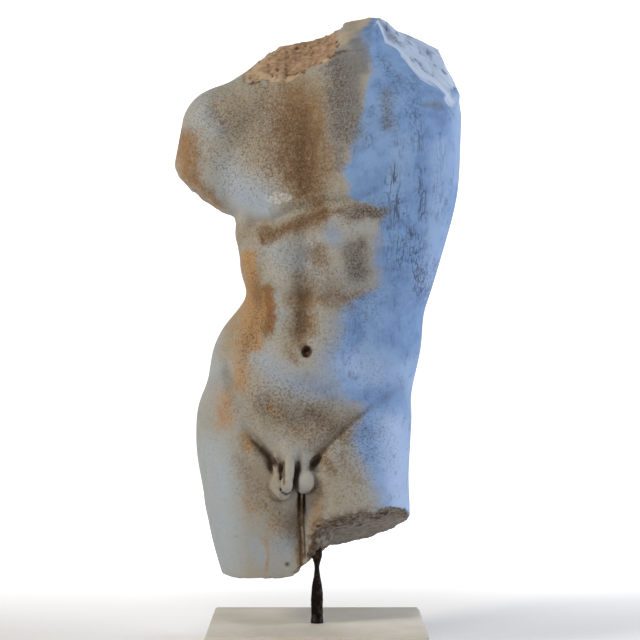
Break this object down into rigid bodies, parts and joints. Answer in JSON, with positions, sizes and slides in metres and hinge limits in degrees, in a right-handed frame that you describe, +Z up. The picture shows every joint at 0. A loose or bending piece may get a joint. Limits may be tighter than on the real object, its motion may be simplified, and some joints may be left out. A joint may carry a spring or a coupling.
{
  "type": "marble roman torso",
  "caption": "Weathered marble torso of a standing youth, broken at neck, shoulder, arm and thighs, held by an iron rod over a low stone plinth.",
  "frame": {"origin": "middle of the plinth's underside", "axes": "+Z up along the figure's height; the pelvis faces -Y and +X is towards the figure's left side"},
  "size_m": [0.3952, 0.2793, 0.8899],
  "materials": {
    "marble": "weathered, with brown and ochre patina",
    "iron": "forged, dark brown",
    "plinth_stone": "sawn, lightly weathered"
  },
  "bodies": {
    "root": {"marble_torso": "marble", "iron_rod": "iron", "plinth": "plinth_stone"}
  },
  "joints": []
}
